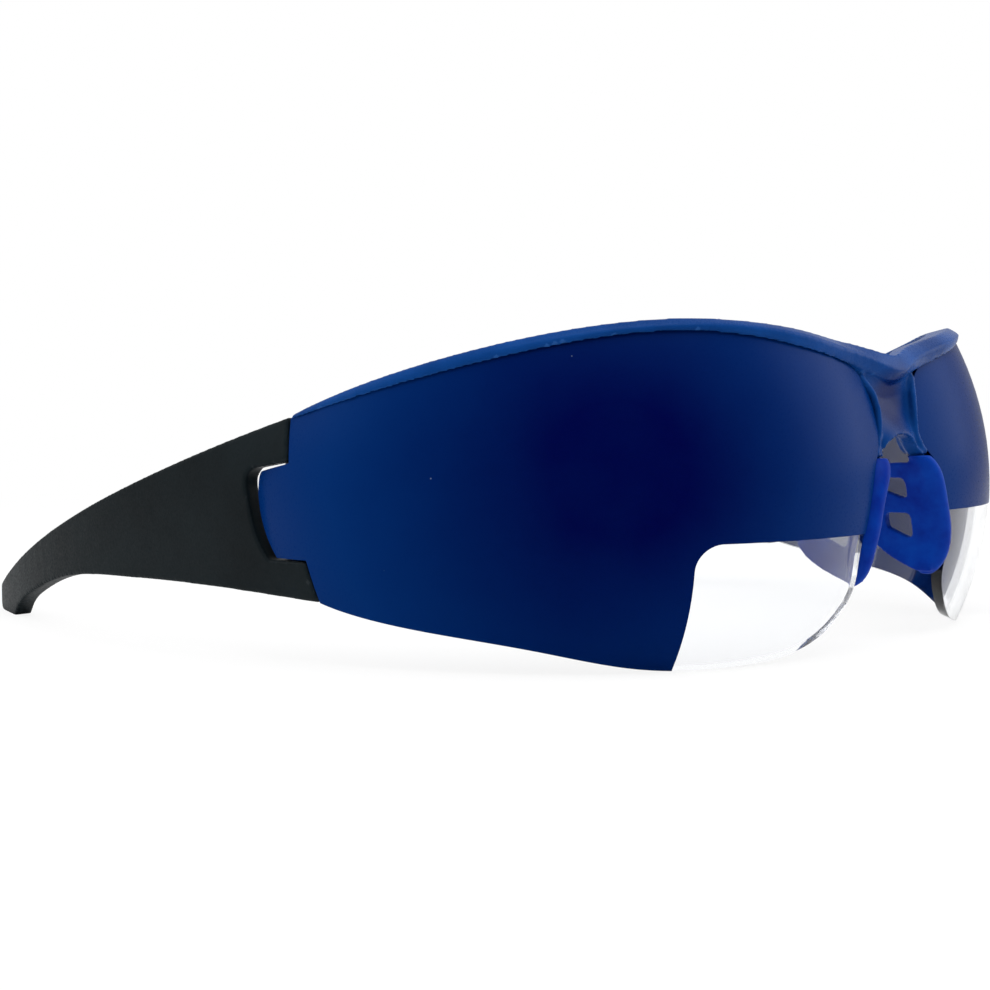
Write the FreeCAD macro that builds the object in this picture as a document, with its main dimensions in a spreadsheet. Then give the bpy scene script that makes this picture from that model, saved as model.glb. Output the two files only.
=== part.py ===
import FreeCAD, Part
import math
import os

# View limiting training glasses: wrap-around glasses whose lenses are masked with opaque blue,
# except for a clear window low beside the nose. Millimetres, +Z up, the wearer looks along -Y.
# The wearer's right side, at -X, is built, and the left side is its mirror image.
# Both lenses are cut from balls. A place on the front is given by its angle round the ball of
# the right lens, from straight ahead (0 degrees) towards the temple, and by its height.

SIZES = {
    # The balls that the lenses are cut from, outside of the blue coat
    "lens_radius": 54.4,
    "ball_offset": 18.76,
    "ball_height": 23.6,
    "lens_wall": 2.0,
    "coat_wall": 0.15,
    "coat_gap": 0.02,
    # Brow lip: top line, lip edge and lower line, as heights at five places round the front
    "tail_angle": 103.9,
    "side_angle": 74.5,
    "peak_angle": 32.4,
    "inner_angle": 0.0,
    "brow_tail": 36.8,
    "brow_side": 45.2,
    "brow_peak": 50.8,
    "brow_inner": 48.6,
    "brow_middle": 45.8,
    "lip_face_tail": 0.2,
    "lip_face_side": 1.0,
    "lip_face_peak": 1.1,
    "lip_face_inner": 1.3,
    "lip_face_middle": 2.7,
    "lip_under_tail": 0.5,
    "lip_under_side": 1.3,
    "lip_under_peak": 0.9,
    "lip_under_inner": 2.1,
    "lip_under_middle": 1.6,
    "lip_reach_tail": 0.35,
    "lip_reach_peak": 1.2,
    "lip_reach_inner": 1.6,
    "lip_edge_wall": 0.4,
    "bar_depth": 4.0,
    "back_top_drop": 1.1,
    "back_lip_drop": 1.0,
    "lens_bite": 0.8,
    "seat_gap": 0.1,
    # Bridge between the lenses
    "middle_setback": 1.6,
    "scoop_depth": 2.7,
    "scoop_height": 38.5,
    "bridge_wall": 3.0,
    "rim_width": 0.7,
    "rim_recess": 0.45,
    "arch_radius": 9.0,
    "arch_top": 33.2,
    "leg_end": 30.0,
    "ledge_width": 2.2,
    "ledge_wall": 1.5,
    "ledge_rise": 1.0,
    "ledge_bite": 1.3,
    # Clear window of a coat, seen from the front; the left one reaches a little higher
    "window_top": 18.5,
    "window_side": 49.2,
    "window_lean": 2.0,
    "window_corner": 3.5,
    "window_raise": 2.2,
    # Nose pads
    "pad_top_gap": 0.3,
    "pad_end": 10.2,
    "pad_bar_width": 3.7,
    "pad_bar_depth": 4.4,
    "pad_reach": 1.2,
    "pad_wing_wall": 1.8,
    "pad_wing_back": 11.5,
    "pad_wing_low": 16.8,
    "pad_strut": 2.2,
    "pad_hole_width": 4.4,
    "pad_hole_upper": 3.6,
    "pad_hole_lower": 4.4,
    "pad_rim": 3.1,
    "tang_width": 1.5,
    "tang_end": 15.0,
    "tang_depth": 1.6,
    "tang_setback": 0.8,
    "tang_root": 1.4,
    "tang_gap": 0.2,
    # Seam between lens and temple, and the rounded tongue of the lens
    "seam_angle": 97.0,
    "seam_low": 9.3,
    "tongue_angle": 98.7,
    "tongue_low": 15.6,
    "tongue_high": 28.7,
    "tongue_root": 29.8,
    "tongue_length": 8.9,
    "tongue_step": 3.0,
    "seam_gap": 0.3,
    # Temples: outer line in plan, side profile and wall
    "temple_bend": 500.0,
    "temple_straight": 49.5,
    "ear_bend": 165.0,
    "ear_length": 61.0,
    "temple_wall": 3.0,
    "ear_wall": 3.6,
    "temple_slot": 21.3,
    "temple_rear_height": 27.5,
    "temple_ear_height": 15.5,
    "tip_height": 4.7,
    "foot_length": 11.5,
    "temple_belly": 10.4,
    "ear_hook": 5.1,
    # Hinges
    "hinge_angle": 107.5,
    "hinge_depth": 5.7,
    "knuckle_radius": 2.6,
    "knuckle_gap": 0.3,
    "knuckle_end": 4.0,
    "knuckle_root": 4.4,
    "end_block_wall": 3.3,
    "end_block_start": 85.0,
    "pin_radius": 0.8,
    "pin_fit": 0.04,
    "pin_head_radius": 1.5,
    "pin_head_height": 0.7,
}

doc = FreeCAD.newDocument("training_glasses")
sheet = doc.addObject("Spreadsheet::Sheet", "sizes")
for row, (alias, value) in enumerate(SIZES.items(), start=1):
    sheet.set("A%d" % row, alias)
    sheet.set("B%d" % row, str(value))
    sheet.setAlias("B%d" % row, alias)
doc.recompute()


def size(alias):
    return float(sheet.get(alias))


def vector(x, y, z):
    return FreeCAD.Vector(x, y, z)


def bind(thing, **expressions):
    for path, expression in expressions.items():
        thing.setExpression(path.replace("__", "."), expression)
    return thing


def feature(name, shape):
    thing = doc.addObject("Part::Feature", name)
    thing.Shape = shape
    return thing


def cut(name, base, tool):
    thing = doc.addObject("Part::Cut", name)
    thing.Base = base
    thing.Tool = tool
    return thing


def common(name, *shapes):
    thing = doc.addObject("Part::MultiCommon", name)
    thing.Shapes = list(shapes)
    return thing


def fuse(name, *shapes):
    thing = doc.addObject("Part::MultiFuse", name)
    thing.Shapes = list(shapes)
    return thing


def mirrored(name, source):
    thing = doc.addObject("Part::Mirroring", name)
    thing.Source = source
    thing.Normal = vector(1, 0, 0)
    thing.Base = vector(0, 0, 0)
    return thing


# Places on the ball of the right lens

RADIUS = size("lens_radius")
CENTRE = vector(-size("ball_offset"), 0, size("ball_height"))
MIDDLE_REACH = RADIUS - size("middle_setback")


def outward(angle):
    turn = math.radians(angle)
    return vector(-math.sin(turn), -math.cos(turn), 0)


def ball_point(angle, height, radius=RADIUS):
    level = height - CENTRE.z
    flat = math.sqrt(radius * radius - level * level)
    return vector(CENTRE.x, 0, height) + outward(angle) * flat


def on_curve(knots):
    # A smooth line through knots of angle and height, read back as height for an angle
    spline = Part.BSplineCurve()
    spline.interpolate([vector(angle, height, 0) for angle, height in knots])

    def height_at(angle):
        upright = Part.Line(vector(angle, -100, 0), vector(angle, 200, 0))
        plane = Part.Plane(vector(0, 0, 0), vector(0, 0, 1))
        return spline.intersect2d(upright, plane)[0][1]

    return height_at


def between(knots, place):
    # Straight steps between knots, as the value for a place
    for (start, low), (end, high) in zip(knots, knots[1:]):
        if start <= place <= end:
            return low + (high - low) * (place - start) / (end - start)
    return knots[0][1] if place < knots[0][0] else knots[-1][1]


BROW_PLACES = [size(name + "_angle") for name in ("tail", "side", "peak", "inner")]
MIDDLE_ANGLE = -math.degrees(math.asin(size("ball_offset") / RADIUS))
BROW_PLACES.append(MIDDLE_ANGLE)
PLACE_NAMES = ("tail", "side", "peak", "inner", "middle")


def brow_line(*drops):
    heights = []
    for name in PLACE_NAMES:
        drop = sum(size(drop_name + name) for drop_name in drops)
        heights.append(size("brow_" + name) - drop)
    return on_curve(sorted(zip(BROW_PLACES, heights)))


brow_top = brow_line()
lip_edge = brow_line("lip_face_")
lip_under = brow_line("lip_face_", "lip_under_")

# The lens edge beside the nose, from under the lip down to the lowest point: height and angle
NOSE_EDGE = (
    (42.4, -10.2), (39.6, -12.6), (36.5, -13.4), (33.0, -12.9), (29.5, -9.4),
    (25.0, -6.6), (20.0, -4.6), (15.0, -3.2), (10.5, -3.4), (6.2, -0.3), (2.4, 6.5),
)
LOWER_EDGE = ((20.0, 0.3), (31.0, 0.0), (43.0, 0.7), (58.0, 3.3), (78.0, 6.1))
TOP_PLACES = (93.0, 84.0, 74.5, 60.0, 46.0, 32.0, 18.0, 5.0, -4.5)
TOP_FADE = 15.0


def tail_fade(angle):
    # From nothing at the tail of the brow to all of it further on
    return min(1.0, (size("tail_angle") - angle) / TOP_FADE)


def nose_edge_angle(height):
    return between(sorted(NOSE_EDGE), height)


def grown(knots, growth):
    # Knots moved out by a distance, square to the line through their neighbours
    moved = []
    for index, (angle, height) in enumerate(knots):
        before = knots[max(index - 1, 0)]
        after = knots[min(index + 1, len(knots) - 1)]
        per_degree = math.radians(1) * RADIUS
        along = vector((after[0] - before[0]) * per_degree, after[1] - before[1], 0)
        along.normalize()
        moved.append((angle + along.y * growth / per_degree, height - along.x * growth))
    return moved


def lens_edge(growth=0.0):
    # The long smooth edge, from the top of the seam over the brow, down the nose and back below
    knots = [(size("tail_angle") - 0.3, size("brow_tail") - 0.3)]
    for angle in TOP_PLACES:
        knots.append((angle, lip_under(angle) + size("lens_bite") * tail_fade(angle)))
    knots += [(angle, height) for height, angle in NOSE_EDGE]
    knots += list(LOWER_EDGE)
    knots.append((size("seam_angle"), size("seam_low")))
    return grown(knots, growth)


# The rounded end of the tongue, upwards: how far it stays short of the tip, in millimetres,
# and its share of the height of the tongue
TONGUE_END = ((4.5, 0.0), (2.2, 0.24), (0.6, 0.52), (0.0, 0.74), (0.1, 0.9), (1.0, 0.985))


def seam_knots():
    # The corners of the seam and of the tongue that reaches back between the temple's arms
    per_degree = math.radians(1) * RADIUS
    low, high = size("tongue_low"), size("tongue_high")
    slope = (size("tongue_angle") - size("seam_angle")) / (low - size("seam_low"))
    root = size("tongue_angle")
    upper_root = root + slope * (size("tongue_root") - low)
    tip = root + (size("tongue_length") + size("tongue_step")) / per_degree
    curve = [(tip - short / per_degree, low + (high - low) * share) for short, share in TONGUE_END]
    return (root, low), curve, (upper_root, size("tongue_root"))


AXIS_ANGLE = 49.0
CONE_NEAR, CONE_FAR = 15.0, 62.0


def flat_point(angle, height, distance):
    # The place on the ball, seen from its centre, on a plane square to the lens axis
    ray = ball_point(angle, height) - CENTRE
    return CENTRE + ray * (distance / ray.dot(outward(AXIS_ANGLE)))


def edge_cone(name, runs):
    # A cone from the ball's centre through an outline; a run of two points is straight
    rings = []
    for distance in (CONE_NEAR, CONE_FAR):
        edges = []
        for run in runs:
            points = [flat_point(angle, height, distance) for angle, height in run]
            if len(points) == 2:
                edges.append(Part.makeLine(points[0], points[1]))
            else:
                spline = Part.BSplineCurve()
                spline.interpolate(points)
                edges.append(spline.toShape())
        rings.append(Part.Wire(edges))
    return feature(name, Part.makeLoft(rings, True, True))


def lens_outline(name, growth=0.0):
    edge = lens_edge(growth)
    low_corner, tongue, high_corner = seam_knots()
    runs = [edge, [edge[-1], low_corner], [low_corner, tongue[0]], tongue,
            [tongue[-1], high_corner], [high_corner, edge[0]]]
    return edge_cone(name, runs)


def ball(name, inset):
    thing = doc.addObject("Part::Sphere", name)
    bind(thing, Radius="sizes.lens_radius - (%s)" % inset)
    bind(thing, Placement__Base__x="-sizes.ball_offset", Placement__Base__z="sizes.ball_height")
    return thing


def shell(name, outer_inset, inner_inset):
    return cut(name, ball(name + "_outer", outer_inset), ball(name + "_inner", inner_inset))


LENS_FRONT = "sizes.coat_wall + sizes.coat_gap"
LENS_BACK = LENS_FRONT + " + sizes.lens_wall"


# Lenses and their blue coat

def make_lens():
    outline = lens_outline("lens_edge_cone")
    lens = common("lens_right", shell("lens_shell", LENS_FRONT, LENS_BACK), outline)
    coat_outline = lens_outline("coat_edge_cone")
    coat = common("coat_blank", shell("coat_shell", "0", "sizes.coat_wall"), coat_outline)
    right = cut("mask_right", coat, window_block("window_right", size("window_top")))
    raised = size("window_top") + size("window_raise")
    left = cut("mask_left_unturned", coat, window_block("window_left", raised))
    return lens, right, left


def window_block(name, top):
    # What a clear window takes out of the coat: its side leans and its upper corner is round
    side, low = size("window_side"), -size("window_corner")
    outline = [vector(0, 0, low), vector(size("window_lean") - side, 0, low),
               vector(-side, 0, top), vector(0, 0, top), vector(0, 0, low)]
    block = Part.Face(Part.makePolygon(outline)).extrude(vector(0, -2 * RADIUS, 0))
    corner = [edge for edge in block.Edges if abs(edge.CenterOfMass.x + side) < 0.01]
    return feature(name, block.makeFillet(size("window_corner"), corner))


# Front frame: brow bar with its lip, bridge, ledges behind the lenses, end blocks

BAR_PLACES = (103.2, 94.0, 84.0, 73.0, 60.0, 46.0, 32.0, 18.0, 5.0, -5.0)


def lip_reach(angle):
    knots = sorted(((size("tail_angle"), size("lip_reach_tail")),
                    (size("peak_angle"), size("lip_reach_peak")),
                    (size("inner_angle"), size("lip_reach_inner"))))
    return between(knots, angle)


def bar_section(angle):
    direction = outward(angle)
    depth = direction * size("bar_depth")
    top, edge, under = brow_top(angle), lip_edge(angle), lip_under(angle)
    lower = ball_point(angle, under)
    back_top = ball_point(angle, top) - depth
    back_top.z -= size("back_top_drop") * tail_fade(angle)
    return [lower + direction * size("lip_edge_wall"),
            ball_point(angle, edge) + direction * lip_reach(angle),
            ball_point(angle, top) + direction * size("seat_gap"),
            back_top,
            vector(lower.x, lower.y, under - size("back_lip_drop")) - depth]


def middle_section():
    front = -MIDDLE_REACH
    top = size("brow_middle")
    edge = top - size("lip_face_middle")
    under = edge - size("lip_under_middle")
    back = front + size("bar_depth")
    lean = size("lip_face_middle") / 2
    return [vector(0, front + lean, under), vector(0, front, edge), vector(0, front + lean, top),
            vector(0, back, top - size("back_top_drop")),
            vector(0, back, under - size("back_lip_drop"))]


def blend_section(share):
    # Between the last section on the ball and the middle one
    last, middle = bar_section(BAR_PLACES[-1]), middle_section()
    return [point * (1 - share) + target * share for point, target in zip(last, middle)]


def mirror_points(points):
    return [vector(-point.x, point.y, point.z) for point in points]


def make_brow_bar():
    sections = [bar_section(angle) for angle in BAR_PLACES]
    sections.append(blend_section(0.55))
    sections.append(middle_section())
    sections += [mirror_points(points) for points in reversed(sections[:-1])]
    wires = [Part.makePolygon(points + points[:1]) for points in sections]
    return feature("brow_bar", Part.makeLoft(wires, True, False))


def bridge_section(height, middle_front):
    # Plan of the bridge at one height: rims beside the lens edges with the scoop between them
    edge = ball_point(nose_edge_angle(height), height)
    side = -edge.x - size("seat_gap")
    front = edge.y + size("rim_recess")
    rim = side - size("rim_width")
    wall = size("bridge_wall")
    outline = [
        Part.makeLine(vector(-side, front, height), vector(-rim, front, height)),
        Part.Arc(vector(-rim, front, height), vector(0, middle_front, height),
                 vector(rim, front, height)).toShape(),
        Part.makeLine(vector(rim, front, height), vector(side, front, height)),
        Part.makeLine(vector(side, front, height), vector(side, front + wall, height)),
        Part.Arc(vector(side, front + wall, height), vector(0, middle_front + wall, height),
                 vector(-side, front + wall, height)).toShape(),
        Part.makeLine(vector(-side, front + wall, height), vector(-side, front, height)),
    ]
    return Part.Wire(outline)


def make_bridge():
    reach = -MIDDLE_REACH
    scoop = reach + size("scoop_depth")
    levels = (
        (size("brow_middle") - size("lip_face_middle"), scoop - 0.9),
        (size("scoop_height") + 1.8, scoop - 0.1),
        (size("scoop_height"), scoop),
        (size("scoop_height") - 2.2, scoop - 0.8),
        (size("arch_top") + 1.4, reach + 0.8),
        (size("arch_top"), reach - 0.4),
        (size("leg_end"), reach - 1.2),
    )
    wires = [bridge_section(height, front) for height, front in levels]
    blank = feature("bridge_blank", Part.makeLoft(wires, True, False))
    arch = doc.addObject("Part::Cylinder", "bridge_arch")
    bind(arch, Radius="sizes.arch_radius", Height="2 * sizes.lens_radius",
         Placement__Base__z="sizes.arch_top - sizes.arch_radius")
    arch.Placement.Rotation = FreeCAD.Rotation(vector(1, 0, 0), 90)
    return cut("bridge", blank, arch)


LEDGE_FRONT = LENS_BACK + " + sizes.seat_gap"
LEDGE_BACK = LEDGE_FRONT + " + sizes.ledge_wall"


KNOT_SPACE = 1.0
TANG_STEPS = 4


def nose_strip(name, low, high, inside, outside):
    # A strip along the lens edge beside the nose, between two distances from that edge
    knots = [(angle, height) for height, angle in NOSE_EDGE
             if low + KNOT_SPACE < height < high - KNOT_SPACE]
    knots.insert(0, (nose_edge_angle(high), high))
    knots.append((nose_edge_angle(low), low))
    outer = grown(knots, outside)
    inner = grown(knots, -inside)
    inner.reverse()
    return edge_cone(name, [outer, [outer[-1], inner[0]], inner, [inner[-1], outer[0]]])


def make_ledge():
    strip = nose_strip("ledge_strip", size("leg_end") + size("ledge_rise"), NOSE_EDGE[0][0],
                       size("ledge_width"), size("ledge_bite"))
    return common("ledge", shell("ledge_shell", LEDGE_FRONT, LEDGE_BACK), strip)


def tang_section(height, gap):
    middle = pad_line(height) + vector(0, size("tang_setback"), 0)
    across, along = size("tang_width") / 2 + gap, size("tang_depth") / 2 + gap
    corners = [middle + vector(across * right, along * back, 0)
               for right, back in ((-1, -1), (1, -1), (1, 1), (-1, 1), (-1, -1))]
    return Part.makePolygon(corners)


def make_tang(name, gap=0.0):
    # The tongue of the frame that carries the nose pad, or the pocket for it in the pad
    low, high = size("tang_end") - gap, size("leg_end") + size("tang_root")
    sections = [tang_section(low + (high - low) * step / TANG_STEPS, gap)
                for step in range(TANG_STEPS + 1)]
    return feature(name, Part.makeLoft(sections, True, False))


def wedge(name, start, end, low, high):
    # A slice of the ball's plan between two angles and two heights
    reach = 2 * RADIUS
    base = vector(CENTRE.x, 0, low)
    corners = [base, base + outward(start) * reach, base + outward(end) * reach, base]
    face = Part.Face(Part.makePolygon(corners))
    return feature(name, face.extrude(vector(0, 0, high - low)))


HINGE = ball_point(size("hinge_angle"), size("ball_height"), RADIUS - size("hinge_depth"))
KNUCKLE_LOW = size("tongue_low") - 0.1
KNUCKLE_HIGH = size("tongue_root")


def barrel(name, low, high, radius):
    thing = doc.addObject("Part::Cylinder", name)
    thing.Radius = radius
    thing.Height = high - low
    thing.Placement = FreeCAD.Placement(vector(HINGE.x, HINGE.y, low), FreeCAD.Rotation())
    return thing


def make_end_block():
    # Behind the lens end: it hangs from the bar and carries the middle knuckle of the hinge
    back = LEDGE_FRONT + " + sizes.end_block_wall"
    upper_shell = shell("end_block_shell", LEDGE_FRONT, back)
    tall = wedge("end_block_slice", size("end_block_start"), size("seam_angle") - 0.5,
                 KNUCKLE_LOW, size("brow_tail") + 0.5)
    arm_shell = shell("hinge_arm_shell", LEDGE_FRONT, back + " + 1")
    short = wedge("hinge_arm_slice", size("end_block_start"), size("hinge_angle"),
                  KNUCKLE_LOW, size("tongue_high"))
    knuckle = barrel("frame_knuckle", KNUCKLE_LOW, KNUCKLE_HIGH, size("knuckle_radius"))
    solid = fuse("end_block_solid", common("end_block_tall", upper_shell, tall),
                 common("hinge_arm", arm_shell, short), knuckle)
    bore = barrel("frame_bore", KNUCKLE_LOW - 1, KNUCKLE_HIGH + 1,
                  size("pin_radius") + size("pin_fit"))
    return cut("end_block", solid, bore)


def make_frame():
    right = fuse("frame_right_parts", make_ledge(), make_tang("pad_tang"), make_end_block())
    left = mirrored("frame_left_parts", right)
    blank = fuse("frame_blank", make_brow_bar(), make_bridge(), right, left)
    pocket_shell = shell("pocket_shell", "-sizes.seat_gap", LENS_BACK + " + sizes.seat_gap")
    pocket = common("pocket_right", pocket_shell, lens_outline("pocket_cone", size("seat_gap")))
    pockets = fuse("pockets", pocket, mirrored("pocket_left", pocket))
    return cut("front_frame", blank, pockets)


# Nose pads: a rounded bar over the tang, and a thin wing behind it with two holes

def pad_line(height):
    # Middle of the bar at a height: beside the lens edge, a little ahead of the lens
    edge = ball_point(nose_edge_angle(height), height)
    side = edge.x + size("pad_bar_width") / 2 + size("seat_gap") + 0.15
    return vector(side, edge.y - size("pad_reach") + size("pad_bar_depth") / 2, height)


def pad_heights():
    top, end = size("leg_end") - size("pad_top_gap"), size("pad_end")
    return [top + (end - top) * share for share in (0.0, 0.06, 0.3, 0.55, 0.8, 0.93, 1.0)]


def make_pad():
    wires = []
    for height, girth in zip(pad_heights(), (0.86, 1.0, 1.0, 1.0, 0.95, 0.78, 0.45)):
        middle = pad_line(height)
        middle.y += (1.0 - girth) * size("pad_bar_depth") * 0.5
        across, along = size("pad_bar_width") / 2 * girth, size("pad_bar_depth") / 2 * girth
        major = vector(0, 1, 0)
        ellipse = Part.Ellipse(middle + major * along, middle + vector(across, 0, 0), middle)
        wires.append(Part.Wire(ellipse.toShape()))
    bar = feature("pad_bar", Part.makeLoft(wires, True, False))
    solid = fuse("pad_solid", bar, make_wing())
    return cut("nose_pad_right", solid, make_tang("pad_pocket", size("tang_gap")))


def wing_slab():
    # Seen from the front the wing leans as the nose does
    wall = size("pad_wing_wall")
    lean = []
    for height in pad_heights():
        middle = pad_line(height)
        lean.append(vector(middle.x + size("pad_bar_width") / 2 - wall, 0, height))
    other = [point + vector(wall, 0, 0) for point in lean]
    left, right = Part.BSplineCurve(), Part.BSplineCurve()
    left.interpolate(lean)
    right.interpolate(other)
    wire = Part.Wire([left.toShape(), Part.makeLine(lean[-1], other[-1]), right.toShape(),
                      Part.makeLine(other[0], lean[0])])
    slab = Part.Face(wire).extrude(vector(0, -2 * RADIUS, 0))
    return feature("wing_slab", slab)


def wing_outline():
    # Seen from the side: straight top, round back, and a lower edge that rises to the back
    top = size("leg_end") - size("pad_top_gap") - 1.2
    front = pad_line(size("leg_end")).y
    back = front + size("pad_wing_back")
    low = size("pad_end") + 0.6
    curve = Part.BSplineCurve()
    curve.interpolate([vector(0, front + 3.0, top), vector(0, back - 2.0, top - 2.8),
                       vector(0, back, top - 7.0), vector(0, back - 0.3, size("pad_wing_low")),
                       vector(0, back - 3.6, low + 2.6), vector(0, front + 2.6, low)])
    start, end = curve.StartPoint, curve.EndPoint
    corners = [end, vector(0, front, low), vector(0, front, top), start]
    edges = [curve.toShape()]
    edges += [Part.makeLine(first, second) for first, second in zip(corners, corners[1:])]
    return Part.Face(Part.Wire(edges)).extrude(vector(-2 * size("ball_offset"), 0, 0))


def hole(front, low, width, height):
    face = Part.Face(Part.makePolygon([
        vector(0, front, low), vector(0, front + width, low + height * 0.45),
        vector(0, front + width, low + height), vector(0, front, low + height),
        vector(0, front, low)]))
    solid = face.extrude(vector(-2 * size("ball_offset"), 0, 0))
    round_edges = [edge for edge in solid.Edges if abs(edge.tangentAt(0).x) > 0.9]
    return solid.makeFillet(0.7, round_edges)


def make_wing():
    blank = common("wing_blank", wing_slab(), feature("wing_side", wing_outline()))
    front = pad_line(size("leg_end")).y + size("pad_rim")
    upper = size("pad_wing_low") + size("pad_hole_lower") + size("pad_strut") - 1.0
    holes = fuse("wing_holes",
                 feature("wing_hole_low", hole(front, size("pad_wing_low") - 1.0,
                                               size("pad_hole_width"), size("pad_hole_lower"))),
                 feature("wing_hole_high", hole(front, upper, size("pad_hole_width"),
                                                size("pad_hole_upper"))))
    return cut("wing", blank, holes)


# Temples: a crowned strip along the outer line, cut to its side profile, with hinge knuckles

START = ball_point(size("seam_angle"), size("ball_height"))
START_TURN = math.radians(size("seam_angle") - 90.0)


def temple_line(length):
    # Place and direction on the outer line, a length behind the seam: two arcs in a row
    straight = size("temple_straight")
    place = vector(START.x, START.y, 0)
    turn = START_TURN
    for radius, run in ((size("temple_bend"), min(length, straight)),
                        (size("ear_bend"), max(length - straight, 0.0))):
        new_turn = turn + run / radius
        place += vector(radius * (math.cos(turn) - math.cos(new_turn)),
                        radius * (math.sin(new_turn) - math.sin(turn)), 0)
        turn = new_turn
    return place, turn


TEMPLE_LENGTH = size("temple_straight") + size("ear_length")
TIP = temple_line(TEMPLE_LENGTH)[0]
STRIP_LOW, STRIP_HIGH = -4.0, 42.0


def strip_section(share):
    place, turn = temple_line(TEMPLE_LENGTH * share)
    inward = vector(math.cos(turn), -math.sin(turn), 0)
    crown = max(0.0, 1.0 - share / 0.6)
    wall = size("temple_wall") + (size("ear_wall") - size("temple_wall")) * share

    def point(height, depth):
        level = height - size("ball_height")
        sag = (RADIUS - math.sqrt(RADIUS * RADIUS - level * level)) * crown
        return vector(place.x, place.y, height) + inward * (sag + depth)

    heights = (STRIP_LOW, size("ball_height"), STRIP_HIGH)
    outer = [point(height, 0.0) for height in heights]
    inner = [point(height, wall) for height in reversed(heights)]
    return Part.Wire([Part.Arc(*outer).toShape() if crown else Part.makeLine(outer[0], outer[2]),
                      Part.makeLine(outer[2], inner[0]),
                      Part.Arc(*inner).toShape() if crown else Part.makeLine(inner[0], inner[2]),
                      Part.makeLine(inner[2], outer[0])])


def spline_edge(points):
    curve = Part.BSplineCurve()
    curve.interpolate(points)
    return curve.toShape()


def side_profile():
    gap = size("seam_gap")
    low_corner, _, high_corner = seam_knots()

    def seam(angle, height, back=gap, rise=0.0):
        return vector(0, ball_point(angle, height).y + back, height + rise)

    top = size("brow_tail") - 0.2
    tail = size("tail_angle") - 0.3
    slot_low, slot_high = size("tongue_low") - gap, size("tongue_high") + gap
    slot = size("temple_slot")
    upper_front = seam(*high_corner, rise=gap)
    lower_front = vector(0, seam(*low_corner).y, slot_low)
    arm_top = seam(tail, top)
    lower_tip = seam(size("seam_angle"), size("seam_low"))
    tip = TIP.y
    tip_top = vector(0, tip, size("tip_height"))
    tip_low = vector(0, tip, 0.9)
    heel = vector(0, tip - 0.9, 0)
    toe = vector(0, tip - size("foot_length"), 0)
    top_line = spline_edge([arm_top, vector(0, arm_top.y + (tip - arm_top.y) * 0.33,
                                            size("temple_rear_height")),
                            vector(0, arm_top.y + (tip - arm_top.y) * 0.71,
                                   size("temple_ear_height")), tip_top])
    belly = size("temple_belly")
    lower_line = spline_edge([toe, vector(0, toe.y - 3.2, 2.4),
                              vector(0, toe.y - 10.0, size("ear_hook")),
                              vector(0, toe.y - 26.0, belly - 1.2),
                              vector(0, toe.y - 45.0, belly), vector(0, toe.y - 66.0, belly),
                              lower_tip])
    slot_line = spline_edge([vector(0, slot - 4.6, slot_low), vector(0, slot - 2.0, slot_low + 4),
                             vector(0, slot - 0.4, slot_low + 9.5), vector(0, slot, slot_high - 1.6),
                             vector(0, slot - 1.4, slot_high - 0.1)])
    edges = [top_line, Part.makeLine(tip_top, tip_low), Part.makeLine(tip_low, heel),
             Part.makeLine(heel, toe), lower_line, Part.makeLine(lower_tip, lower_front),
             Part.makeLine(lower_front, slot_line.Vertexes[0].Point), slot_line,
             Part.makeLine(slot_line.Vertexes[-1].Point, upper_front),
             Part.makeLine(upper_front, arm_top)]
    face = Part.Face(Part.Wire(Part.__sortEdges__(edges)))
    return feature("temple_profile", face.extrude(vector(-2 * RADIUS, 0, 0)))


def temple_knuckle(name, low, high):
    # A barrel round the pin, joined to the inside of the arm
    round_part = barrel(name + "_barrel", low, high, size("knuckle_radius"))
    root = doc.addObject("Part::Box", name + "_root")
    arm_place = temple_line(HINGE.y - START.y)[0]
    start = arm_place.x + size("temple_wall") * 0.75
    root.Length = HINGE.x - start
    root.Width = size("knuckle_root")
    root.Height = high - low
    root.Placement.Base = vector(start, HINGE.y - root.Width.Value / 2, low)
    return fuse(name, round_part, root)


def make_temple():
    wires = [strip_section(share) for share in (0.0, 0.1, 0.2, 0.35, 0.5, 0.65, 0.8, 0.9, 1.01)]
    strip = feature("temple_strip", Part.makeLoft(wires, True, False))
    blade = common("temple_blade", strip, side_profile())
    gap, end = size("knuckle_gap"), size("knuckle_end")
    lower = temple_knuckle("lower_knuckle", KNUCKLE_LOW - gap - end, KNUCKLE_LOW - gap)
    upper = temple_knuckle("upper_knuckle", KNUCKLE_HIGH + gap, KNUCKLE_HIGH + gap + end)
    solid = fuse("temple_solid", blade, lower, upper)
    bore = barrel("temple_bore", 0.0, size("brow_tail"), size("pin_radius") + size("pin_fit"))
    return cut("temple_right", solid, bore)


# Hinge pins: a shank through all the knuckles, with a low head on the upper one

def make_pin():
    end = size("knuckle_gap") + size("knuckle_end")
    top = KNUCKLE_HIGH + end + size("seat_gap")
    shank = barrel("pin_shank", KNUCKLE_LOW - end, top, size("pin_radius"))
    head = barrel("pin_head", top, top + size("pin_head_height"), size("pin_head_radius"))
    return fuse("hinge_pin_right", shank, head)


# The parts, in their places: the origin is on the floor, under the middle of the whole

lens_right, mask_right, mask_left_unturned = make_lens()
pairs = [lens_right, make_pad(), make_temple(), make_pin()]
right_parts = [mask_right] + pairs
left_parts = [mirrored("mask_left", mask_left_unturned)]
left_parts += [mirrored(part.Name.replace("right", "left"), part) for part in pairs]
frame = make_frame()
parts = [frame] + right_parts + left_parts
doc.recompute()

whole = Part.makeCompound([part.Shape for part in parts]).optimalBoundingBox(False)
home = vector(0, -(whole.YMin + whole.YMax) / 2, -whole.ZMin)
for part in [frame, mask_left_unturned] + right_parts:
    part.Placement = FreeCAD.Placement(home, FreeCAD.Rotation())
for part in parts:
    part.Label = part.Name
doc.recompute()

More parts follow.
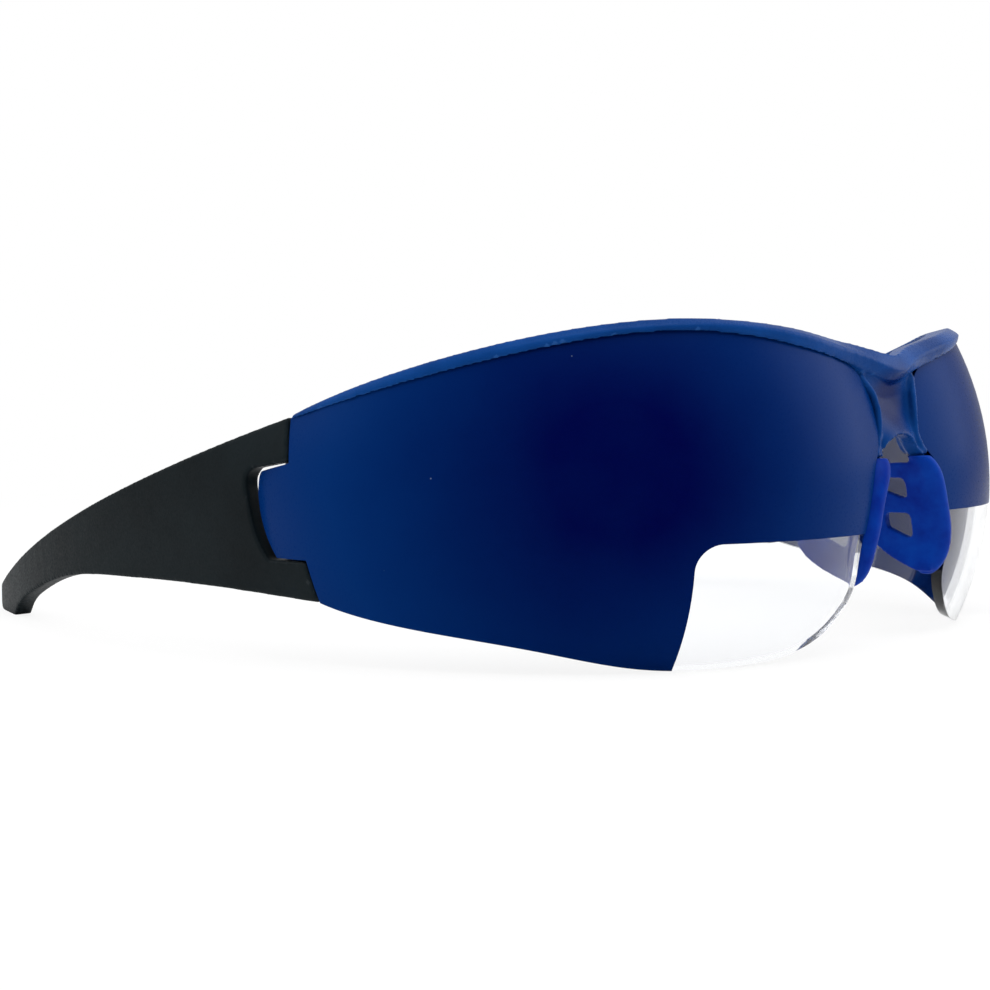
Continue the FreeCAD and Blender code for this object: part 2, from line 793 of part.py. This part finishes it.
for thing in doc.Objects:
    if "Invalid" in thing.State or "Error" in thing.State:
        raise RuntimeError("%s failed: %s" % (thing.Name, thing.State))
os.makedirs("parts", exist_ok=True)
for part in parts:
    if part.Shape.isNull() or not part.Shape.isValid():
        raise RuntimeError("%s has no valid shape" % part.Label)
    part.Shape.exportStep("parts/%s.step" % part.Label)
    box = part.Shape.optimalBoundingBox(False)
    print("%-18s solids %d  x %.1f %.1f  y %.1f %.1f  z %.1f %.1f" % (
        part.Label, len(part.Shape.Solids), box.XMin, box.XMax, box.YMin, box.YMax,
        box.ZMin, box.ZMax))
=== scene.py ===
import math
import bpy
from mathutils import Matrix, Vector


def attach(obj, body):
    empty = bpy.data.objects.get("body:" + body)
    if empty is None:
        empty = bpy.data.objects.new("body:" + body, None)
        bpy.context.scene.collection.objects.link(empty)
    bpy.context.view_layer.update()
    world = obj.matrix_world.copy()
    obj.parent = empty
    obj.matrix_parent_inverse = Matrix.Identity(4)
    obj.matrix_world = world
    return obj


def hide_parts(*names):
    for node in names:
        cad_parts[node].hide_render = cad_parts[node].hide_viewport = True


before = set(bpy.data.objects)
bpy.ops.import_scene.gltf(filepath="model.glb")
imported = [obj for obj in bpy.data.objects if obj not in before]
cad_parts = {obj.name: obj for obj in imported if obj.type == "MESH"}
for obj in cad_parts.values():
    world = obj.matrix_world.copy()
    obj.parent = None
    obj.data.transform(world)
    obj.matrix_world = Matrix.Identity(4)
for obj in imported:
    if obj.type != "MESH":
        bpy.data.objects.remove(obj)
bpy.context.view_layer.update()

# Wrap-around training glasses: blue masked lenses with a clear window low beside the nose.
# Metres, +Z up, the wearer looks along -Y, and the wearer's right side is at -X.
print("frame loaded:", sorted(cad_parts))

sides = {"right": -1, "left": 1}


# Small helpers

weldDistance = 0.000002     # corners nearer than this are one corner
smoothFactor = 0.5


def pickOnly(piece):
    for other in bpy.context.selected_objects:
        other.select_set(False)
    piece.select_set(True)
    bpy.context.view_layer.objects.active = piece


def copyOfNode(nodeName, pieceName):
    # A separate piece with the node's own outline, its loose triangles joined
    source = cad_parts[nodeName]
    piece = source.copy()
    piece.data = source.data.copy()
    piece.name = pieceName
    piece.data.materials.clear()
    bpy.context.collection.objects.link(piece)
    pickOnly(piece)
    bpy.ops.object.mode_set(mode="EDIT")
    bpy.ops.mesh.select_all(action="SELECT")
    bpy.ops.mesh.remove_doubles(threshold=weldDistance)
    bpy.ops.object.mode_set(mode="OBJECT")
    return piece


def applyModifiers(piece):
    pickOnly(piece)
    for modifier in list(piece.modifiers):
        bpy.ops.object.modifier_apply(modifier=modifier.name)


def giveMaterial(piece, material):
    piece.data.materials.clear()
    piece.data.materials.append(material)


def softened(piece, voxel, rounds):
    # Even small faces, then smoothing: the corners of a moulded piece come out round
    remesh = piece.modifiers.new("even faces", "REMESH")
    remesh.mode = "VOXEL"
    remesh.voxel_size = voxel
    remesh.use_smooth_shade = True
    smooth = piece.modifiers.new("round corners", "SMOOTH")
    smooth.factor = smoothFactor
    smooth.iterations = rounds
    applyModifiers(piece)
    bpy.ops.object.shade_smooth()


# Materials

noiseSpan = (0.3, 0.7)      # a noise texture stays between about these values


def newMaterial(name):
    material = bpy.data.materials.new(name)
    material.use_nodes = True
    nodes = material.node_tree.nodes
    return material, nodes, material.node_tree.links, nodes["Principled BSDF"]


def addNoise(nodes, links, coordinates, scale, detail=4.0, roughness=0.55):
    noise = nodes.new("ShaderNodeTexNoise")
    noise.inputs["Scale"].default_value = scale
    noise.inputs["Detail"].default_value = detail
    noise.inputs["Roughness"].default_value = roughness
    links.new(coordinates, noise.inputs["Vector"])
    return noise.outputs["Fac"]


def addRange(nodes, links, value, source, target=(0.0, 1.0)):
    ranged = nodes.new("ShaderNodeMapRange")
    for end, number in zip(("From Min", "From Max", "To Min", "To Max"), (*source, *target)):
        ranged.inputs[end].default_value = number
    links.new(value, ranged.inputs["Value"])
    return ranged.outputs["Result"]


def addBump(nodes, links, height, strength, distance, before=None):
    # before is the normal of a coarser bump that this one is laid over
    bump = nodes.new("ShaderNodeBump")
    bump.inputs["Strength"].default_value = strength
    bump.inputs["Distance"].default_value = distance
    links.new(height, bump.inputs["Height"])
    if before is not None:
        links.new(before, bump.inputs["Normal"])
    return bump.outputs["Normal"]


def addMix(nodes, links, factor, first, second):
    mix = nodes.new("ShaderNodeMix")
    mix.data_type = "RGBA"
    links.new(factor, mix.inputs["Factor"])
    for colour, socket in ((first, mix.inputs["A"]), (second, mix.inputs["B"])):
        if isinstance(colour, tuple):
            socket.default_value = (*colour, 1.0)
        else:
            links.new(colour, socket)
    return mix.outputs["Result"]


def objectCoordinates(nodes):
    return nodes.new("ShaderNodeTexCoord").outputs["Object"]


def stretched(nodes, links, coordinates, scale, turn=(0.0, 0.0, 0.0)):
    mapping = nodes.new("ShaderNodeMapping")
    mapping.inputs["Scale"].default_value = scale
    mapping.inputs["Rotation"].default_value = turn
    links.new(coordinates, mapping.inputs["Vector"])
    return mapping.outputs["Vector"]


def distanceTo(nodes, links, coordinates, middle):
    distance = nodes.new("ShaderNodeVectorMath")
    distance.operation = "DISTANCE"
    links.new(coordinates, distance.inputs[0])
    distance.inputs[1].default_value = middle
    return distance.outputs["Value"]


def seenThroughNothingOrGlass(nodes, links):
    # 1 on rays straight from the camera or through the clear lens, 0 on those that light things
    path = nodes.new("ShaderNodeLightPath")
    seen = nodes.new("ShaderNodeMath")
    seen.operation = "ADD"
    seen.use_clamp = True
    links.new(path.outputs["Is Camera Ray"], seen.inputs[0])
    links.new(path.outputs["Is Transmission Ray"], seen.inputs[1])
    return seen.outputs["Value"]


paint = {
    "blueWithDarkReflection": (0.0003, 0.0008, 0.046),
    "edge": (0.0006, 0.0220, 0.125),
    "middle": (0.0560, -0.0640, 0.0290),    # middle of the painted dark reflection on the left lens; mirrored for the right one
    "paleReflectionSpan": (0.010, 0.044),              # distance from there over which the painted pale reflection comes in towards the rim
    "cloudScale": 55.0,
    "cloudShare": 0.30,
    "shadeSpan": (0.12, 1.1),
    "speck": (0.30, 0.36, 0.48),
    "speckScale": 95.0,
    "speckSpan": (0.022, 0.012),
    "speckShare": (0.0, 0.8),
    "peelScale": 2600.0,
    "peelDepth": 0.000012,
    "peelStrength": 0.6,
    "fineScale": 2600.0 * 3.1,
    "fineDepth": 0.000012 * 0.4,
    "fineStrength": 0.35,
    "roughness": (0.24, 0.36),
    "specular": 0.02,
    "tint": (0.05, 0.32, 1.0, 1.0),
}


def maskPaint(side):
    # Satin blue coat with a painted reflection: dark in the middle of the lens and paler towards
    # its rim, with random blotches mixed in, and orange peel
    material, nodes, links, surface = newMaterial("maskPaint_" + side)
    place = objectCoordinates(nodes)
    # painted reflection: the coat is painted darker towards this middle and paler towards the rim
    x, y, z = paint["middle"]
    distance = distanceTo(nodes, links, place, (sides[side] * x, y, z))
    rim = addRange(nodes, links, distance, paint["paleReflectionSpan"])
    cloud = addNoise(nodes, links, place, paint["cloudScale"], 3.0)
    blend = nodes.new("ShaderNodeMath")
    blend.operation = "MULTIPLY_ADD"
    links.new(cloud, blend.inputs[0])
    blend.inputs[1].default_value = paint["cloudShare"]
    links.new(rim, blend.inputs[2])
    shade = addRange(nodes, links, blend.outputs["Value"], paint["shadeSpan"])
    # mix from the painted dark reflection to the painted pale reflection at the rim
    colour = addMix(nodes, links, shade, paint["blueWithDarkReflection"], paint["edge"])
    dust = nodes.new("ShaderNodeTexVoronoi")
    dust.inputs["Scale"].default_value = paint["speckScale"]
    links.new(place, dust.inputs["Vector"])
    speck = addRange(nodes, links, dust.outputs["Distance"],
                     paint["speckSpan"], paint["speckShare"])
    colour = addMix(nodes, links, speck, colour, paint["speck"])
    links.new(colour, surface.inputs["Base Color"])
    peel = addNoise(nodes, links, place, paint["peelScale"], 3.0, 0.6)
    fine = addNoise(nodes, links, place, paint["fineScale"], 2.0)
    links.new(addRange(nodes, links, peel, noiseSpan, paint["roughness"]),
              surface.inputs["Roughness"])
    wavy = addBump(nodes, links, peel, paint["peelStrength"], paint["peelDepth"])
    links.new(addBump(nodes, links, fine, paint["fineStrength"], paint["fineDepth"], wavy),
              surface.inputs["Normal"])
    surface.inputs["Specular IOR Level"].default_value = paint["specular"]
    surface.inputs["Specular Tint"].default_value = paint["tint"]
    return material


frameBlue = {
    "dark": (0.0024, 0.030, 0.145),
    "light": (0.0055, 0.052, 0.225),
    "cloudScale": 70.0,
    # paler edge colour: partly wear, partly a painted highlight on the rims
    "wearAndSheen": (0.040, 0.130, 0.380),
    "wearAndSheenSpan": (0.53, 0.60),               # pointiness over which an edge is painted paler, partly as wear and partly as a painted highlight
    "wearAndSheenShare": (0.0, 0.35),
    # the hollow in the bridge, in the brow's shadow
    "scoopMiddle": (0.0, -0.0790, 0.0385),
    "scoopSpan": (0.0028, 0.0072),
    "scoopShare": (0.9, 0.0),
    "scoopColour": (0.0003, 0.0060, 0.070),
    "skinScale": 3200.0,
    "skinDepth": 0.000010,
    "skinStrength": 0.45,
    "roughness": (0.22, 0.34),
    "specular": 0.04,
    "tint": (0.15, 0.45, 1.0, 1.0),
}


def framePlastic():
    # Satin blue moulded plastic, a little brighter than the coat, with a fine skin, painted shade
    # in the hollow of the bridge, and its edges painted paler as slight wear and a painted
    # highlight
    material, nodes, links, surface = newMaterial("framePlastic")
    place = objectCoordinates(nodes)
    cloud = addNoise(nodes, links, place, frameBlue["cloudScale"], 3.0)
    shade = addRange(nodes, links, cloud, noiseSpan)
    colour = addMix(nodes, links, shade, frameBlue["dark"], frameBlue["light"])
    # edges painted paler: partly wear, partly a painted highlight along the rims
    geometry = nodes.new("ShaderNodeNewGeometry")
    wearAndSheen = addRange(nodes, links, geometry.outputs["Pointiness"],
                    frameBlue["wearAndSheenSpan"], frameBlue["wearAndSheenShare"])
    colour = addMix(nodes, links, wearAndSheen, colour, frameBlue["wearAndSheen"])
    inside = distanceTo(nodes, links, place, frameBlue["scoopMiddle"])
    shaded = addRange(nodes, links, inside, frameBlue["scoopSpan"], frameBlue["scoopShare"])
    colour = addMix(nodes, links, shaded, colour, frameBlue["scoopColour"])
    links.new(colour, surface.inputs["Base Color"])
    skin = addNoise(nodes, links, place, frameBlue["skinScale"], 3.0)
    links.new(addRange(nodes, links, skin, noiseSpan, frameBlue["roughness"]),
              surface.inputs["Roughness"])
    links.new(addBump(nodes, links, skin, frameBlue["skinStrength"], frameBlue["skinDepth"]),
              surface.inputs["Normal"])
    surface.inputs["Specular IOR Level"].default_value = frameBlue["specular"]
    surface.inputs["Specular Tint"].default_value = frameBlue["tint"]
    return material


clear = {
    "colour": (0.975, 0.985, 1.0, 1.0),
    "wipeScale": (90.0, 90.0, 900.0),
    "wipeTurn": (0.3, 0.5, 0.2),
    "wipeSpan": (0.35, 0.75),
    "wipeDepth": 0.000004,
    "wipeStrength": 0.05,
    "roughness": (0.0, 0.05),
    "ior": 1.38,
    "specular": 0.28,
}


def lensClear():
    # Clear hard plastic with faint wiping marks
    material, nodes, links, surface = newMaterial("lensClear")
    place = stretched(nodes, links, objectCoordinates(nodes), clear["wipeScale"],
                      clear["wipeTurn"])
    wipe = addNoise(nodes, links, place, 1.0, 4.0)
    links.new(addRange(nodes, links, wipe, clear["wipeSpan"], clear["roughness"]),
              surface.inputs["Roughness"])
    links.new(addBump(nodes, links, wipe, clear["wipeStrength"], clear["wipeDepth"]),
              surface.inputs["Normal"])
    surface.inputs["Base Color"].default_value = clear["colour"]
    surface.inputs["Transmission Weight"].default_value = 1.0
    surface.inputs["IOR"].default_value = clear["ior"]
    surface.inputs["Specular IOR Level"].default_value = clear["specular"]
    return material


rubber = {
    "dark": (0.0003, 0.014, 0.200),
    "light": (0.0008, 0.040, 0.310),
    "bloomScale": 240.0,
    "grainScale": 5200.0,
    "grainDepth": 0.000008,
    "grainStrength": 0.4,
    "roughness": (0.42, 0.56),
    "specular": 0.04,
    "sheen": 0.05,
    "sheenRoughness": 0.4,
    "sheenTint": (0.05, 0.35, 1.0, 1.0),
}


def padRubber():
    # Vivid blue rubber with a soft bloom and a very fine grain
    material, nodes, links, surface = newMaterial("padRubber")
    place = objectCoordinates(nodes)
    bloom = addNoise(nodes, links, place, rubber["bloomScale"], 4.0)
    shade = addRange(nodes, links, bloom, noiseSpan)
    colour = addMix(nodes, links, shade, rubber["dark"], rubber["light"])
    links.new(colour, surface.inputs["Base Color"])
    grain = addNoise(nodes, links, place, rubber["grainScale"], 2.0)
    links.new(addRange(nodes, links, grain, noiseSpan, rubber["roughness"]),
              surface.inputs["Roughness"])
    links.new(addBump(nodes, links, grain, rubber["grainStrength"], rubber["grainDepth"]),
              surface.inputs["Normal"])
    surface.inputs["Specular IOR Level"].default_value = rubber["specular"]
    surface.inputs["Sheen Weight"].default_value = rubber["sheen"]
    surface.inputs["Sheen Roughness"].default_value = rubber["sheenRoughness"]
    surface.inputs["Sheen Tint"].default_value = rubber["sheenTint"]
    return material


armBlack = {
    "dark": (0.0022, 0.0048, 0.0062),
    "light": (0.0045, 0.0090, 0.0112),
    "cloudScale": 60.0,
    # paler edge colour: partly rubbed wear, partly a painted highlight
    "wearAndSheen": (0.030, 0.036, 0.042),
    "wearAndSheenSpan": (0.52, 0.60),
    "wearAndSheenShare": (0.0, 0.4),
    "grainScale": 2300.0,
    "grainDepth": 0.000022,
    "grainStrength": 0.7,
    "roughness": (0.40, 0.58),
    "specular": 0.05,
}


def templeBlack():
    # Matte black moulded plastic: a pebbled grain, and edges painted paler, partly as rubbing and
    # partly as a painted highlight
    material, nodes, links, surface = newMaterial("templeBlack")
    place = objectCoordinates(nodes)
    cloud = addNoise(nodes, links, place, armBlack["cloudScale"], 4.0)
    shade = addRange(nodes, links, cloud, noiseSpan)
    colour = addMix(nodes, links, shade, armBlack["dark"], armBlack["light"])
    # edges painted paler: partly rubbed wear, partly a painted highlight along the edges
    geometry = nodes.new("ShaderNodeNewGeometry")
    wearAndSheen = addRange(nodes, links, geometry.outputs["Pointiness"],
                    armBlack["wearAndSheenSpan"], armBlack["wearAndSheenShare"])
    colour = addMix(nodes, links, wearAndSheen, colour, armBlack["wearAndSheen"])
    links.new(colour, surface.inputs["Base Color"])
    grain = addNoise(nodes, links, place, armBlack["grainScale"], 3.0, 0.6)
    links.new(addRange(nodes, links, grain, noiseSpan, armBlack["roughness"]),
              surface.inputs["Roughness"])
    links.new(addBump(nodes, links, grain, armBlack["grainStrength"], armBlack["grainDepth"]),
              surface.inputs["Normal"])
    surface.inputs["Specular IOR Level"].default_value = armBlack["specular"]
    return material


pinMetal = {
    "dark": (0.42, 0.43, 0.44),
    "light": (0.60, 0.61, 0.62),
    "ringScale": (300.0, 300.0, 9000.0),
    "ringDepth": 0.000004,
    "ringStrength": 0.2,
    "roughness": (0.22, 0.38),
}


def pinSteel():
    # Turned steel with fine rings round the pin
    material, nodes, links, surface = newMaterial("pinSteel")
    place = stretched(nodes, links, objectCoordinates(nodes), pinMetal["ringScale"])
    rings = addNoise(nodes, links, place, 1.0, 3.0)
    shade = addRange(nodes, links, rings, noiseSpan)
    colour = addMix(nodes, links, shade, pinMetal["dark"], pinMetal["light"])
    links.new(colour, surface.inputs["Base Color"])
    links.new(addRange(nodes, links, rings, noiseSpan, pinMetal["roughness"]),
              surface.inputs["Roughness"])
    links.new(addBump(nodes, links, rings, pinMetal["ringStrength"], pinMetal["ringDepth"]),
              surface.inputs["Normal"])
    surface.inputs["Metallic"].default_value = 1.0
    return material


plasticBlue = framePlastic()
clearLens = lensClear()
rubberBlue = padRubber()
plasticBlack = templeBlack()
steel = pinSteel()
for side in sides:
    giveMaterial(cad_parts["mask_" + side], maskPaint(side))
    giveMaterial(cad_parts["lens_" + side], clearLens)
    giveMaterial(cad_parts["hinge_pin_" + side], steel)
print("materials made")


# Front frame: brow, bridge and hinge blocks in one moulding with its corners rounded, and a thin
# bead on each side that closes the joint between the bridge and the lens edge

moulding = {
    "voxel": 0.00030,
    "rounds": 12,
    "beadRadius": 0.00062,
    "beadRoundness": 4,
    # along the right lens edge beside the bridge, from the brow down to the leg
    "beadPath": (
        (-0.00900, -0.07790, 0.0424),
        (-0.00705, -0.07915, 0.0396),
        (-0.00632, -0.07975, 0.0368),
        (-0.00640, -0.07990, 0.0335),
        (-0.00775, -0.08025, 0.0312),
        (-0.00880, -0.08060, 0.0302),
    ),
}


def rimBead(side):
    # A plane is shrunk to one corner, which is pulled along the path to leave a line of edges, and
    # the line becomes a curve with a round section
    mirror = -sides[side]       # the path is the right side's
    path = [Vector((mirror * x, y, z)) for x, y, z in moulding["beadPath"]]
    bpy.ops.mesh.primitive_plane_add(size=0.001, location=(0, 0, 0))
    bead = bpy.context.active_object
    bead.name = "rimBead_" + side
    bpy.ops.object.mode_set(mode="EDIT")
    bpy.ops.mesh.select_all(action="SELECT")
    bpy.ops.mesh.merge(type="CENTER")
    bpy.ops.transform.translate(value=path[0])
    for start, end in zip(path, path[1:]):
        bpy.ops.mesh.extrude_region_move(TRANSFORM_OT_translate={"value": end - start})
    bpy.ops.object.mode_set(mode="OBJECT")
    bpy.ops.object.convert(target="CURVE")
    bead.data.bevel_depth = moulding["beadRadius"]
    bead.data.bevel_resolution = moulding["beadRoundness"]
    bead.data.use_fill_caps = True
    bpy.ops.object.convert(target="MESH")
    return bead


beads = [rimBead(side) for side in sides]
brow = copyOfNode("front_frame", "browAndBridge")
for bead in beads:
    bead.select_set(True)
bpy.ops.object.join()
softened(brow, moulding["voxel"], moulding["rounds"])
giveMaterial(brow, plasticBlue)
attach(brow, "front")
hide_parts("front_frame")
print("front frame made")


# Temples: the moulded arms, with their corners rounded

temple = {"voxel": 0.00029, "rounds": 9}

for side in sides:
    arm = copyOfNode("temple_" + side, "templeArm_" + side)
    softened(arm, temple["voxel"], temple["rounds"])
    giveMaterial(arm, plasticBlack)
    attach(arm, side + "_temple")
    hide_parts("temple_" + side)
print("temples made")


# Nose pads: soft rubber, round all over

pad = {"voxel": 0.00026, "rounds": 5}

for side in sides:
    cushion = copyOfNode("nose_pad_" + side, "nosePad_" + side)
    softened(cushion, pad["voxel"], pad["rounds"])
    giveMaterial(cushion, rubberBlue)
    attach(cushion, "front")
    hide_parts("nose_pad_" + side)
print("nose pads made")


# Studio: pale floor, white surroundings with a dark patch where the camera stands, soft lamps

studio = {
    "floorSize": 6.0,
    "floorColour": (0.90, 0.90, 0.90, 1.0),
    "fadeFrom": (0.12, 0.45),       # the floor turns pure white between these distances
    "glow": (0.84, 1.0),
    "skyLevel": 0.70,
    "darkLevel": 0.12,
    "darkTowards": (-0.805, -0.590, 0.06),
    "darkSpan": (0.55, 0.93),       # cosine of the angle to that direction
    "lampAim": (0.0, -0.03, 0.02),
    "lamps": (
        # place, size, watts
        ((-0.10, -0.25, 0.75), 0.7, 5.0),
        ((0.70, -0.55, 0.35), 0.6, 2.5),
        ((-0.55, 0.60, 0.50), 0.6, 2.5),
    ),
}
white = (1.0, 1.0, 1.0, 1.0)

bpy.ops.mesh.primitive_plane_add(size=studio["floorSize"], location=(0, 0, 0))
floor = bpy.context.active_object
floor.name = "floor"
floorPaint, nodes, links, surface = newMaterial("floorPaint")
surface.inputs["Base Color"].default_value = studio["floorColour"]
surface.inputs["Roughness"].default_value = 0.9
surface.inputs["Specular IOR Level"].default_value = 0.1
glow = nodes.new("ShaderNodeEmission")
glow.inputs["Color"].default_value = white
glow.inputs["Strength"].default_value = 1.0
away = nodes.new("ShaderNodeVectorMath")
away.operation = "LENGTH"
links.new(objectCoordinates(nodes), away.inputs[0])
whiter = addRange(nodes, links, away.outputs["Value"], studio["fadeFrom"], studio["glow"])
share = nodes.new("ShaderNodeMath")
share.operation = "MULTIPLY"
links.new(seenThroughNothingOrGlass(nodes, links), share.inputs[0])
links.new(whiter, share.inputs[1])
mixShader = nodes.new("ShaderNodeMixShader")
links.new(share.outputs["Value"], mixShader.inputs["Fac"])
links.new(surface.outputs["BSDF"], mixShader.inputs[1])
links.new(glow.outputs["Emission"], mixShader.inputs[2])
links.new(mixShader.outputs["Shader"], nodes["Material Output"].inputs["Surface"])
giveMaterial(floor, floorPaint)

world = bpy.data.worlds.new("studioWorld")
bpy.context.scene.world = world
world.use_nodes = True
nodes, links = world.node_tree.nodes, world.node_tree.links
background = nodes["Background"]
direction = nodes.new("ShaderNodeTexCoord").outputs["Generated"]
towards = nodes.new("ShaderNodeVectorMath")
towards.operation = "DOT_PRODUCT"
links.new(direction, towards.inputs[0])
towards.inputs[1].default_value = studio["darkTowards"]
dimmed = addRange(nodes, links, towards.outputs["Value"],
                  studio["darkSpan"], (studio["skyLevel"], studio["darkLevel"]))
level = nodes.new("ShaderNodeMix")
level.data_type = "FLOAT"
links.new(seenThroughNothingOrGlass(nodes, links), level.inputs["Factor"])
links.new(dimmed, level.inputs["A"])
level.inputs["B"].default_value = 1.0
links.new(level.outputs["Result"], background.inputs["Strength"])
background.inputs["Color"].default_value = white

for number, (place, lampSize, watts) in enumerate(studio["lamps"]):
    bpy.ops.object.light_add(type="AREA", location=place)
    lamp = bpy.context.active_object
    lamp.name = "softLamp_%d" % number
    lamp.data.energy = watts
    lamp.data.size = lampSize
    aim = Vector(studio["lampAim"]) - Vector(place)
    lamp.rotation_euler = aim.to_track_quat("-Z", "Y").to_euler()
print("studio made")


# Camera: near the wearer's right temple, almost level with the lenses

view = {
    "place": (-0.314383, -0.231927, 0.041378),
    "turn": -53.76935,      # degrees round Z from looking along +Y
    "down": 2.89980,        # degrees below level
    "roll": -0.28045,
    "sensor": 36.0,         # millimetres, as is the focal length
    "focal": 79.5835,
    "nearest": 0.01,
}
cameraData = bpy.data.cameras.new("photoCamera")
cameraData.sensor_width = view["sensor"]
cameraData.lens = view["focal"]
cameraData.clip_start = view["nearest"]
camera = bpy.data.objects.new("photoCamera", cameraData)
bpy.context.collection.objects.link(camera)
camera.matrix_world = (Matrix.Translation(view["place"])
                       @ Matrix.Rotation(math.radians(view["turn"]), 4, "Z")
                       @ Matrix.Rotation(math.radians(90 - view["down"]), 4, "X")
                       @ Matrix.Rotation(math.radians(view["roll"]), 4, "Z"))
bpy.context.scene.camera = camera
bpy.context.scene.view_settings.view_transform = "Standard"
